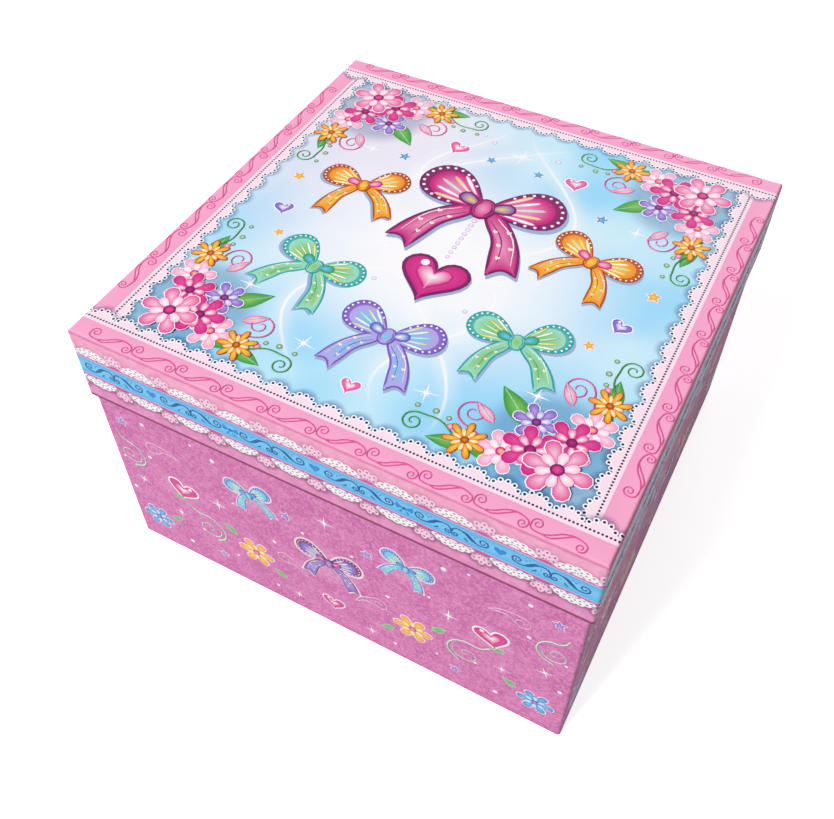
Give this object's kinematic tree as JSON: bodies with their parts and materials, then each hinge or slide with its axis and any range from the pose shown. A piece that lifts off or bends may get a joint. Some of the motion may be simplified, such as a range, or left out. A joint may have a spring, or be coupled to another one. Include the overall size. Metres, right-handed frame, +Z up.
{
  "type": "ballerina jewellery box",
  "caption": "Square paper-covered musical jewellery box with a hinged lid, a turning dancer on a stage, ring rolls, lined compartments and a wind-up movement.",
  "frame": {"origin": "centre of the underside of the case, on the surface that the box stands on", "axes": "+Z up, front of the box towards -Y, hinges at +Y, +X to the right seen from the front"},
  "size_m": [0.152, 0.1698, 0.097],
  "materials": {
    "board": "greyboard, lined",
    "print": "printed paper, satin",
    "lid_print": "printed paper, satin",
    "lining": "pink lining paper",
    "velvet": "velvet pile",
    "mirror": "silvered glass",
    "brass": "polished",
    "steel": "bright steel",
    "zinc": "cast zinc, satin",
    "white_plastic": "moulded",
    "dark_plastic": "moulded",
    "doll": "moulded and painted",
    "tulle": "tulle net"
  },
  "bodies": {
    "case": {"base_cover": "lining", "floor_board": "board", "front_board": "board", "back_board": "board", "left_board": "board", "right_board": "board", "case_wrap": "print", "lining_collar": "lining", "stage_riser": "lining", "stage_deck": "lining", "bay_divider": "lining", "cross_divider": "lining", "ring_shelf": "lining", "ring_rolls": "velvet", "floor_mat": "velvet", "hinge_case_leaves": "brass", "hinge_pins": "brass", "case_rivets": "brass", "bedplate": "zinc", "fixing_screws": "steel", "key_eyelet": "brass", "music_comb": "steel", "comb_screws": "steel", "governor_frame": "zinc", "lever_pin": "steel", "spindle_bracket": "steel"},
    "lid": {"lid_top_board": "board", "lid_front_board": "board", "lid_back_board": "board", "lid_left_board": "board", "lid_right_board": "board", "lid_wrap": "lid_print", "lid_ceiling_lining": "lining", "lid_mirror": "mirror", "hinge_lid_leaves": "brass", "lid_rivets": "brass"},
    "key_set": {"winding_arbor": "steel", "winding_key": "brass"},
    "barrel_set": {"spring_barrel": "brass", "barrel_cap": "brass", "mainspring": "steel"},
    "cylinder_set": {"pinned_cylinder": "brass", "cylinder_arbor": "steel", "cylinder_pinion": "brass", "governor_drive_wheel": "brass"},
    "second_set": {"second_arbor": "steel", "worm_wheel": "brass"},
    "fly_set": {"worm_shaft": "steel", "fly": "dark_plastic"},
    "spindle_set": {"dancer_spindle": "steel", "spindle_pinion": "white_plastic", "dancer_stand": "white_plastic", "dancer_spring": "steel"},
    "dancer_set": {"dancer_figure": "doll", "dancer_tutu": "tulle"},
    "stop_set": {"stop_lever": "brass"}
  },
  "joints": [
    {"name": "lid_hinge", "type": "hinge", "parent": "case", "child": "lid", "pos_m": [0, 0.0766, 0.07115], "axis": [-1, 0, 0], "range_deg": [0, 100]},
    {"name": "key_turn", "type": "hinge", "parent": "case", "child": "key_set", "pos_m": [0, 0.08, 0.018], "axis": [0, 1, 0], "continuous": true},
    {"name": "barrel_turn", "type": "hinge", "parent": "case", "child": "barrel_set", "pos_m": [0, 0.063, 0.018], "axis": [0, 1, 0], "continuous": true},
    {"name": "cylinder_turn", "type": "hinge", "parent": "case", "child": "cylinder_set", "pos_m": [-0.036, 0.0529, 0.018], "axis": [1, 0, 0], "continuous": true},
    {"name": "second_turn", "type": "hinge", "parent": "case", "child": "second_set", "pos_m": [-0.058, 0.06298, 0.018], "axis": [1, 0, 0], "continuous": true},
    {"name": "fly_turn", "type": "hinge", "parent": "case", "child": "fly_set", "pos_m": [-0.0598, 0.05648, 0.018], "axis": [0, 0, 1], "continuous": true},
    {"name": "spindle_turn", "type": "hinge", "parent": "case", "child": "spindle_set", "pos_m": [0, 0.0529, 0.034], "axis": [0, 0, 1], "continuous": true},
    {"name": "dancer_sway", "type": "hinge", "parent": "spindle_set", "child": "dancer_set", "pos_m": [0, 0.0529, 0.0455], "axis": [0, 1, 0], "range_deg": [-12, 12], "stiffness_Nm_per_rad": 0.002, "deforming": ["dancer_spring"]},
    {"name": "stop_lever_swing", "type": "hinge", "parent": "case", "child": "stop_set", "pos_m": [-0.0647, 0.066, 0.022], "axis": [-1, 0, 0], "range_deg": [0, 3.24]}
  ],
  "couplings": [
    {"joint": "cylinder_turn", "follows": "barrel_turn", "ratio": 3.2},
    {"joint": "second_turn", "follows": "barrel_turn", "ratio": -9.6},
    {"joint": "fly_turn", "follows": "barrel_turn", "ratio": -192},
    {"joint": "spindle_turn", "follows": "barrel_turn", "ratio": -3.2},
    {"joint": "stop_lever_swing", "follows": "lid_hinge", "ratio": 0.0324}
  ]
}
